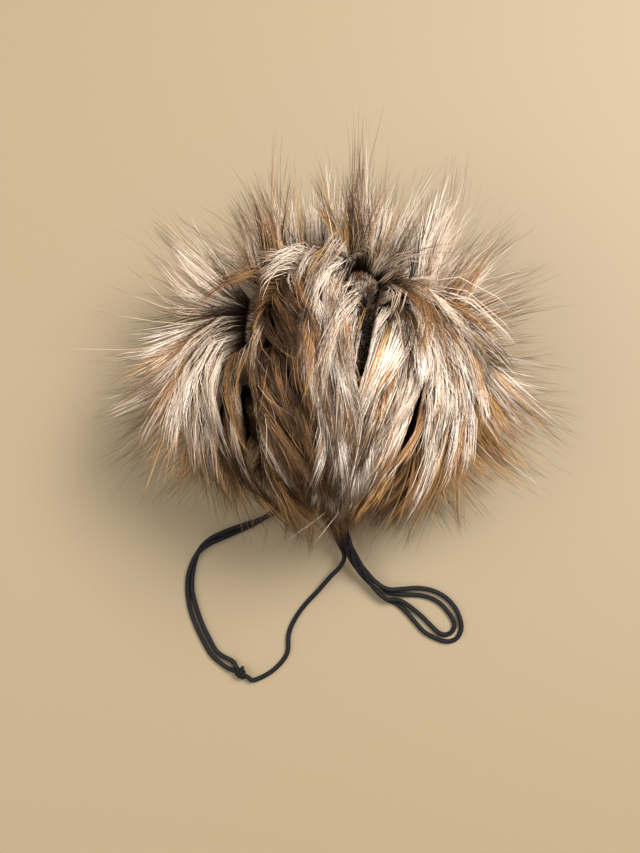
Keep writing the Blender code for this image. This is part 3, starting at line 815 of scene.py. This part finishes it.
def backing_material(pile):
    """The dark woven ground that the pile is fixed in, with short fibres over it. It takes the root colour,
    which is partly painted shade.
    """
    made, nodes, shader = new_material("pile_ground")
    place = nodes.add("ShaderNodeTexCoord").outputs["Object"]
    fibres = nodes.add("ShaderNodeTexNoise", {"Vector": place, "Scale": 900.0, "Detail": 4.0})
    weave = nodes.add("ShaderNodeTexVoronoi", {"Vector": place, "Scale": 700.0})
    share = nodes.ramp(fibres.outputs[0], *GROUND_FIBRES)
    dark = tuple(value * GROUND_DARKER for value in pile.root_colour)
    shade = nodes.blend(share, opaque(dark), opaque(pile.root_colour))
    height = nodes.math("ADD", fibres.outputs[0], weave.outputs["Distance"])
    bump = nodes.add("ShaderNodeBump", {"Height": height, "Strength": 0.6, "Distance": 0.6 * MM})
    nodes.give(shader, {"Base Color": shade, "Normal": bump.outputs[0], "Roughness": GROUND_ROUGHNESS})
    return made


def cord_material(thread):
    """Black thread: fine fibres that run along the strand, their lighter streaks partly painted sheen."""
    made, nodes, shader = new_material("black_thread")
    uv = nodes.add("ShaderNodeUVMap", uv_map="OFBake").outputs[0]
    grain = nodes.add("ShaderNodeMapping", {"Vector": uv, "Scale": THREAD_GRAIN})
    fibres = nodes.add("ShaderNodeTexNoise", {"Vector": grain.outputs[0], "Scale": 3.0, "Detail": 5.0})
    height = fibres.outputs[0]
    share = nodes.ramp(height, *THREAD_FIBRES)
    # lighter streaks: partly the thread's fibres, partly painted sheen
    light = tuple(value * FIBRE_AND_SHEEN_LIGHTER for value in thread)
    shade = nodes.blend(share, opaque(thread), opaque(light))
    rough = nodes.math("MULTIPLY_ADD", height, THREAD_ROUGHER, THREAD_ROUGHNESS)
    bump = nodes.add("ShaderNodeBump", {"Height": height, "Strength": 0.5, "Distance": 0.2 * MM})
    nodes.give(shader, {"Base Color": shade, "Roughness": rough, "Normal": bump.outputs[0]})
    nodes.give(shader, {"Specular IOR Level": THREAD_SHINE})
    return made


# Cords.


def neck_point(across, up, out):
    """A point on the neck's flat, in millimetres: across it, up it and out from it."""
    rise = np.cross(NECK_AXIS, (1.0, 0.0, 0.0))
    point = BALL_CENTRE / MM + NECK_AXIS * (NECK_REACH / MM + out) + rise * up
    point[0] += across
    return tuple(point)


def from_neck(across, up):
    """A cord's first points, straight out of the neck."""
    return [neck_point(across, up, out) for out in NECK_LEAD]


def to_knot(bearing):
    """A cord's last points, straight at the knot from a bearing in degrees."""
    angle = math.radians(bearing)
    outward = unit(np.array((math.cos(angle), math.sin(angle), -KNOT_DIP)))
    surface = 1 / np.linalg.norm(outward / KNOT_SIZE) + GAP
    return [tuple(KNOT_CENTRE + outward * (surface + out)) for out in KNOT_LEAD]


PAIR = (
    (-8.3, -41.8, 9.5), (-14.7, -46.3, 5.2), (-19.9, -49.5, 2.4), (-24.8, -51.6, 0.9),
    (-31.0, -54.1, 0.7), (-34.9, -56.1, 0.7), (-37.7, -59.0, 0.7), (-39.4, -63.9, 0.7),
    (-39.7, -68.7, 0.7), (-38.8, -73.4, 0.7), (-37.2, -77.9, 0.7), (-35.2, -82.0, 0.7),
    (-32.8, -85.9, 0.7),
)
RETURN = from_neck(-0.8, -0.8) + [
    (-2.2, -44.6, 12.3), (-1.6, -50.6, 9.2), (-0.2, -55.6, 7.0), (1.5, -59.4, 5.2),
    (0.9, -62.2, 3.9), (-1.9, -65.2, 2.6), (-5.0, -68.8, 1.5), (-8.8, -72.9, 0.8),
    (-11.5, -76.8, 0.7), (-13.0, -80.6, 0.7), (-13.3, -85.2, 0.7), (-15.2, -88.3, 0.7),
    (-18.4, -91.0, 0.8),
    *to_knot(-28),
]
BUNDLE = (
    (0.5, -43.5, 13.3), (1.2, -51.0, 9.4), (3.0, -57.2, 6.8), (6.0, -62.6, 4.7),
    (9.8, -66.9, 2.9),
)
LOOP_OUTER = (
    (13.6, -68.4, 2.9), (17.5, -68.4, 2.2), (21.5, -68.2, 1.4), (25.4, -68.8, 0.9),
    (28.9, -70.5, 0.7), (31.6, -73.2, 0.7), (33.1, -76.4, 0.7), (33.4, -79.4, 0.7),
    (32.0, -81.8, 0.7), (29.3, -82.5, 0.7), (26.2, -81.5, 0.7), (23.4, -79.9, 0.7),
    (21.0, -77.3, 0.7), (18.6, -74.6, 0.7), (16.0, -72.4, 0.7), (12.8, -70.9, 1.0),
)
LOOP_INNER = (
    (13.8, -69.2, 1.3), (17.5, -69.9, 0.9), (21.5, -70.1, 0.7), (24.7, -70.7, 0.7),
    (27.6, -72.2, 0.7), (29.8, -74.5, 0.7), (31.3, -76.8, 0.7), (31.6, -78.5, 0.7),
    (30.8, -80.0, 0.7), (29.2, -80.7, 0.7), (27.4, -80.2, 0.7), (25.0, -78.0, 0.7),
    (22.6, -75.6, 0.7), (19.6, -73.2, 1.1), (16.6, -71.4, 2.0), (12.9, -70.9, 2.6),
)


def beside(line, across, up, turns=0.0, lift=0.0):
    """A line's points moved sideways, to its left as it runs, and up. Strands with the same turns wind about
    the line, and lift raises it where they do."""
    moved = []
    for number, point in enumerate(line):
        ahead = np.subtract(line[min(number + 1, len(line) - 1)], line[max(number - 1, 0)])
        left = unit(np.array((-ahead[1], ahead[0], 0.0)))
        turn = 2 * math.pi * turns * number / (len(line) - 1)
        aside = across * math.cos(turn) - up * math.sin(turn)
        above = across * math.sin(turn) + up * math.cos(turn)
        raised = above + lift * math.sin(turn / 2) ** 2
        moved.append(tuple(np.array(point) + left * aside + (0, 0, raised)))
    return moved


def loop_strand(line, side):
    """A whole loop strand: out of the neck beside the bundle's line, round the loop and back."""
    across, up = STRAND_HALF_PITCH, side * STRAND_HALF_PITCH
    out = beside(BUNDLE, across, up, BUNDLE_TURNS)
    back = beside(BUNDLE, -across, -up, BUNDLE_TURNS)
    start = from_neck(LOOPS_ACROSS + across, up)
    end = from_neck(LOOPS_ACROSS - across, -up)
    return start + out + list(line) + back[::-1] + end[::-1]


def pair_strand(side):
    """One strand of the tie's pair: wound once about the other, then a little apart before the knot."""
    wound = beside(PAIR[:WOUND_POINTS], side * STRAND_HALF_PITCH, 0, 1.0, STRAND_HALF_PITCH)
    return wound + beside(PAIR, side * PAIR_HALF_PITCH, 0)[WOUND_POINTS:]


CORD_ROUTES = {
    "tie_outer": from_neck(-2.4, -0.8) + pair_strand(-1) + to_knot(158),
    "tie_inner": from_neck(-2.4, 0.8) + pair_strand(1) + to_knot(124),
    "tie_return": RETURN[:3] + beside(RETURN[3:7], RETURN_CLOSER, 0) + RETURN[7:],
    "loop_outer": loop_strand(LOOP_OUTER, 1),
    "loop_inner": loop_strand(LOOP_INNER, -1),
}
ROUTE_STEPS = 16
STRAND_SPACING = 0.45 * MM
STRAND_SIDES = 12
STRAND_ENDS = 0.75  # how wide a strand's ends are, as a share of the rest
END_UV = 0.005  # how far from the strip's ends their UV is, and how far it reaches across and up
END_UV_ACROSS = 0.4
END_UV_UP = 0.004
FIRST_SIDE = (0.3, 0.2, 1.0)  # what a strand's sides start from, as no strand leaves this way
PLIES = 3
PLY_PITCH = 3.4 * MM
PLY_DEPTH = 0.13


def smooth_route(points, spacing):
    """Evenly spaced points on the Catmull-Rom curve through a route's own points."""
    route = [Vector(point) * MM for point in points]
    ends = [route[0] * 2 - route[1], *route, route[-1] * 2 - route[-2]]
    fine = []
    for before, start, end, after in zip(ends, ends[1:], ends[2:], ends[3:]):
        squared = before * 2 - start * 5 + end * 4 - after
        cubed = start * 3 - before - end * 3 + after
        for step in range(ROUTE_STEPS):
            share = step / ROUTE_STEPS
            twice = start * 2 + (end - before) * share + squared * share**2 + cubed * share**3
            fine.append(twice / 2)
    fine.append(route[-1])
    travelled = np.concatenate(([0], np.cumsum([(b - a).length for a, b in zip(fine, fine[1:])])))
    count = max(2, round(travelled[-1] / spacing))
    places = np.linspace(0, travelled[-1], count + 1)
    return np.stack([np.interp(places, travelled, along_axis) for along_axis in zip(*fine)], axis=1)


def strand_mesh(name, path, radius):
    """A twisted strand swept along a path, with filled ends. Its outside is cut by one groove between each
    two plies, so it is as thick as it says over the plies."""
    along = unit(np.gradient(path, axis=0))
    side = unit(np.cross(along[0], FIRST_SIDE))
    sides = []
    for ahead in along:
        side = unit(side - ahead * (side @ ahead))
        sides.append(side)
    sides = np.array(sides)
    rise = np.cross(along, sides)
    travelled = np.concatenate(([0], np.cumsum(np.linalg.norm(np.diff(path, axis=0), axis=1))))
    turn = np.arange(STRAND_SIDES) * 2 * math.pi / STRAND_SIDES
    ply = PLIES * (turn[None] + travelled[:, None] * 2 * math.pi / PLY_PITCH)
    reach = radius * (1 - PLY_DEPTH * (0.5 - 0.5 * np.cos(ply)))
    reach[[0, -1]] *= STRAND_ENDS
    vertices = path[:, None] + around(sides, rise, turn) * reach[..., None]
    rings = len(path)
    faces, strip = [], []
    for ring in range(rings - 1):
        for corner in range(STRAND_SIDES):
            here = ring * STRAND_SIDES + corner
            turned = ring * STRAND_SIDES + (corner + 1) % STRAND_SIDES
            faces.append((here, turned, turned + STRAND_SIDES, here + STRAND_SIDES))
            left, right = corner / STRAND_SIDES, (corner + 1) / STRAND_SIDES
            low, high = ring / (rings - 1), (ring + 1) / (rings - 1)
            strip += [(left, low), (right, low), (right, high), (left, high)]
    first = tuple(range(STRAND_SIDES - 1, -1, -1))
    last = tuple(range((rings - 1) * STRAND_SIDES, rings * STRAND_SIDES))
    faces += [first, last]
    for end in (END_UV, 1 - END_UV):
        strip += [(0.5 + END_UV_ACROSS * math.cos(a), end + END_UV_UP * math.sin(a)) for a in turn]
    return smooth_mesh(name, vertices, faces, np.array(strip))


def knot_path():
    """The knot's own strand: wraps drawn tight along the way from the pair to the return, and a blunt end."""
    turn = np.linspace(0, 2 * math.pi * KNOT_WRAPS, KNOT_POINTS)
    along = np.linspace(-KNOT_HALF_LENGTH, KNOT_HALF_LENGTH, KNOT_POINTS)
    bearing = math.radians(KNOT_BEARING)
    axis = np.array((math.cos(bearing), math.sin(bearing), 0.0))
    across = np.array((-axis[1], axis[0], 0.0))
    middle = np.cos(np.pi * along / KNOT_HALF_LENGTH / 2) ** 2
    swell = KNOT_WRAP_RADIUS * mix(KNOT_WAIST, 1.0, middle)[:, None]
    up = np.array((0.0, 0.0, 1.0))
    wound = axis * along[:, None] + swell * (across * np.cos(turn)[:, None] + up * np.sin(turn)[:, None])
    path = np.concatenate([wound, wound[-1] + np.array(KNOT_TAIL)])
    return (path + KNOT_CENTRE - (0, 0, KNOT_DROP)) * MM


# What a maker may change.


def colour(name, description, default):
    return bpy.props.FloatVectorProperty(
        name=name, description=description, default=default, subtype="COLOR", size=3, min=0.0, max=1.0
    )


def count(name, description, default):
    return bpy.props.IntProperty(name=name, description=description, default=default, min=100, max=60000)


def length(name, description, default):
    return bpy.props.FloatProperty(
        name=name, description=description, default=default, unit="LENGTH", min=0.0, precision=5
    )


class PileSettings(bpy.types.PropertyGroup):
    combed_hairs: count("Combed hairs", "Long hairs all over the ball, kept where the pile is combed", 42000)
    fringe_hairs: count("Fringe hairs", "Long hairs all over the ball, kept where the pile stands out", 27000)
    under_hairs: count("Under hairs", "Hairs in the short under pile", 12500)
    stray_hairs: count("Stray hairs", "Single hairs that leave their locks", 900)
    hair_width: length("Hair width", "Width of a hair at its thickest", 0.00017)
    # The roots' own dark brown, made darker still as painted shade where gaps and openings show them.
    root_colour: colour("Root colour", "Colour of the hair at its root", (0.019, 0.010, 0.005))
    tip_colour: colour("Tip colour", "Colour of the hair's fine end", (0.070, 0.038, 0.020))
    pale_colour: colour("Pale colour", "Colour of the dullest pale hair along its middle", (0.78, 0.60, 0.44))
    # partly the hair's own silvery tone, partly a painted highlight on the brightest hair
    silver_and_highlight_colour: colour(
        "Silver colour", "Colour of the brightest pale hair along its middle", (0.90, 0.815, 0.735)
    )
    brown_colour: colour("Brown colour", "Colour of the brown hair along its middle", (0.40, 0.215, 0.095))
    gold_colour: colour("Gold colour", "Colour of the golden hair along its middle", (0.66, 0.385, 0.155))
    dark_colour: colour("Dark colour", "Colour of the darkest hair along its middle", (0.10, 0.055, 0.030))


class CordSettings(bpy.types.PropertyGroup):
    diameter: length("Diameter", "Thickness of one strand over its plies", 0.00132)
    cord_colour: colour("Cord colour", "Colour of the thread", (0.004, 0.004, 0.005))


class StageSettings(bpy.types.PropertyGroup):
    floor_colour: colour("Floor colour", "Colour of the plain floor", (0.200, 0.155, 0.092))
    light_colour: colour("Light colour", "Colour of the soft light", (1.0, 0.96, 0.91))
    sky_colour: colour("Sky colour", "Colour of the light from all round", (1.0, 0.91, 0.80))


CAMERA_AIM = Vector((-4.6, -24.5, 0.0)) * MM
CAMERA_DISTANCE = 350 * MM
CAMERA_ELEVATION = math.radians(86)
CAMERA_ANGLE = math.radians(28)
FLOOR_SIZE = 3.0
FLOOR_ROUGHNESS = 0.6
SKY_STRENGTH = 0.66
# Each light's name, place, size and power.
LIGHTS = (("key", (0.50, 0.36, 0.95), 0.50, 27.0), ("fill", (-0.60, -0.10, 0.80), 0.9, 9.0))


class POMPOM_OT_stage(bpy.types.Operator):
    """Adds the plain floor, the soft light and the camera"""

    bl_idname = "pompom.stage"
    bl_label = "Stage"

    def execute(self, context):
        scene = context.scene
        settings = scene.pompom_stage
        bpy.ops.object.select_all(action="DESELECT")
        bpy.ops.mesh.primitive_plane_add(size=FLOOR_SIZE, location=(0.0, 0.0, 0.0))
        floor = context.active_object
        floor.name = "floor"
        made, nodes, shader = new_material("pale_floor")
        nodes.give(shader, {"Base Color": opaque(settings.floor_colour), "Roughness": FLOOR_ROUGHNESS})
        floor.data.materials.append(made)
        for name, place, size, power in LIGHTS:
            light = bpy.data.lights.new(name, "AREA")
            light.size = size
            light.energy = power
            light.color = settings.light_colour
            made = bpy.data.objects.new(name, light)
            made.location = place
            made.rotation_euler = (Vector(place) - CAMERA_AIM).to_track_quat("Z", "Y").to_euler()
            scene.collection.objects.link(made)
        world = bpy.data.worlds.new("soft_sky")
        world.use_nodes = True
        sky = world.node_tree.nodes["Background"]
        sky.inputs["Color"].default_value = opaque(settings.sky_colour)
        sky.inputs["Strength"].default_value = SKY_STRENGTH
        scene.world = world
        camera = bpy.data.objects.new("camera", bpy.data.cameras.new("camera"))
        scene.collection.objects.link(camera)
        camera.data.sensor_fit = "HORIZONTAL"
        camera.data.angle_x = CAMERA_ANGLE
        back = Vector((0.0, -math.cos(CAMERA_ELEVATION), math.sin(CAMERA_ELEVATION)))
        camera.location = CAMERA_AIM + back * CAMERA_DISTANCE
        camera.rotation_euler = back.to_track_quat("Z", "Y").to_euler()
        camera.data.clip_start = 0.01
        scene.camera = camera
        scene.view_settings.view_transform = "Standard"
        return {"FINISHED"}


class POMPOM_OT_cords(bpy.types.Operator):
    """Adds the three strands of the tie, the two of the loop, and the knot"""

    bl_idname = "pompom.cords"
    bl_label = "Cords and knot"

    def execute(self, context):
        settings = context.scene.pompom_cord
        material = cord_material(settings.cord_colour)
        drawn_tight = settings.diameter / 2 * KNOT_STRAND
        knot = add_piece("tied_knot", strand_mesh("tied_knot", knot_path(), drawn_tight), material)
        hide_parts("knot")
        for name, route in CORD_ROUTES.items():
            path = smooth_route(route, STRAND_SPACING)
            path[:, 2] = np.maximum(path[:, 2], settings.diameter / 2)
            strand = add_piece("strand_" + name, strand_mesh(name, path, settings.diameter / 2), material)
            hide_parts(name)
        return {"FINISHED"}


class POMPOM_OT_backing(bpy.types.Operator):
    """Adds the stuffed ball that the pile grows from"""

    bl_idname = "pompom.backing"
    bl_label = "Stuffed ball"

    def execute(self, context):
        bpy.ops.object.select_all(action="DESELECT")
        bpy.ops.mesh.primitive_ico_sphere_add(subdivisions=5, radius=1.0, location=(0.0, 0.0, 0.0))
        ball = context.active_object
        ball.name = "stuffed_ball"
        out = unit(np.array([vertex.co for vertex in ball.data.vertices]))
        places = ball_points(out)
        places[:, 2] = np.maximum(places[:, 2], BALL_CLEAR)
        ball.data.vertices.foreach_set("co", places.reshape(-1))
        ball.data.update()
        bpy.ops.object.shade_smooth()
        ball.data.materials.append(backing_material(context.scene.pompom_pile))
        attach(ball, "root")
        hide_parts("fur_ball")
        return {"FINISHED"}


class POMPOM_OT_pile(bpy.types.Operator):
    """Adds the combed pile, the fringe, the short under pile and the stray hairs"""

    bl_idname = "pompom.pile"
    bl_label = "Pile"

    def execute(self, context):
        pile = context.scene.pompom_pile
        locks = Locks()
        guard = hair_material("guard_hair", pile, lightness=(0.56, 1.10), root_end=0.40, tip_start=0.63)
        fringe = hair_material("fringe_hair", pile, lightness=(0.70, 1.08), root_end=0.34, tip_start=0.50)
        # The under hair is its own darker brown, made darker still as painted shade in the gaps between the
        # locks.
        under = hair_material("under_hair", pile, lightness=(0.08, 0.30), root_end=0.85, tip_start=0.70)
        for name, kind, hairs, material, wanted in (
            ("combed_pile_", COMBED, pile.combed_hairs, guard, is_combed),
            ("fringe_", STANDING, pile.fringe_hairs, fringe, is_standing),
            ("under_pile_", UNDER, pile.under_hairs, under, is_anywhere),
        ):
            for side, out in strips(kind, hairs, wanted):
                pile_piece(name + side, out, kind, locks, material, pile.hair_width)
        stray = kind_roots(STRAY, pile.stray_hairs)
        pile_piece("stray_hairs", stray[stray[:, 2] > STRAY_FROM], STRAY, locks, guard, pile.hair_width)
        return {"FINISHED"}


class POMPOM_PT_panel(bpy.types.Panel):
    """The pom-pom's settings and the steps that build it"""

    bl_idname = "POMPOM_PT_panel"
    bl_label = "Pom-pom"
    bl_space_type = "VIEW_3D"
    bl_region_type = "UI"
    bl_category = "Pom-pom"

    def draw(self, context):
        for group in SETTINGS:
            settings = getattr(context.scene, group)
            for name in settings.__annotations__:
                self.layout.prop(settings, name)
        for step in STEPS:
            self.layout.operator(step.bl_idname)


SETTINGS = {"pompom_pile": PileSettings, "pompom_cord": CordSettings, "pompom_stage": StageSettings}
STEPS = (POMPOM_OT_stage, POMPOM_OT_cords, POMPOM_OT_backing, POMPOM_OT_pile)
CLASSES = (*SETTINGS.values(), *STEPS, POMPOM_PT_panel)


def register():
    for each in CLASSES:
        bpy.utils.register_class(each)
    for group, settings in SETTINGS.items():
        setattr(bpy.types.Scene, group, bpy.props.PointerProperty(type=settings))


def unregister():
    for group in SETTINGS:
        delattr(bpy.types.Scene, group)
    for each in reversed(CLASSES):
        bpy.utils.unregister_class(each)


def main():
    register()
    bpy.ops.pompom.stage()
    bpy.ops.pompom.cords()
    bpy.ops.pompom.backing()
    bpy.ops.pompom.pile()


if __name__ == "__main__":
    main()
